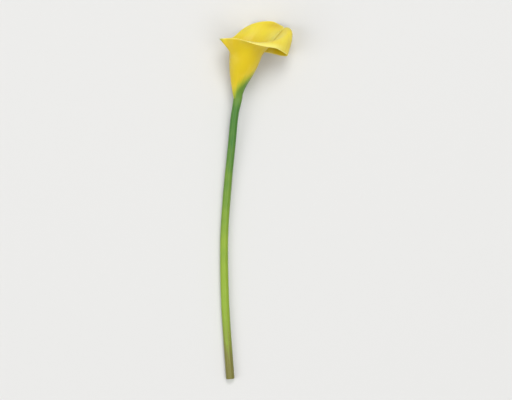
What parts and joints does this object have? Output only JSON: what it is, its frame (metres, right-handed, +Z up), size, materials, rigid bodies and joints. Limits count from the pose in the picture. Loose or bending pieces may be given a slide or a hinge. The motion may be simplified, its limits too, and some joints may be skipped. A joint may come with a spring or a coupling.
{
  "type": "arum lily flower",
  "caption": "Cut yellow arum lily lying on its side: a rolled spathe with a turned-out lip and a pointed tip, a finger spadix, and a bowed green stem.",
  "frame": {"origin": "middle of the part's box on the table it lies on", "axes": "+Z up from the table, +Y along the flower from the cut end of the stem to the mouth of the bloom, +X towards the side away from the spathe's pointed tip"},
  "size_m": [0.0608, 0.299, 0.0485],
  "materials": {
    "spathe": "waxy golden yellow flesh, green at the foot",
    "spadix": "matt grainy orange yellow",
    "stem": "smooth satin green"
  },
  "bodies": {
    "root": {"spathe": "spathe", "spadix": "spadix", "stem": "stem"}
  },
  "joints": []
}
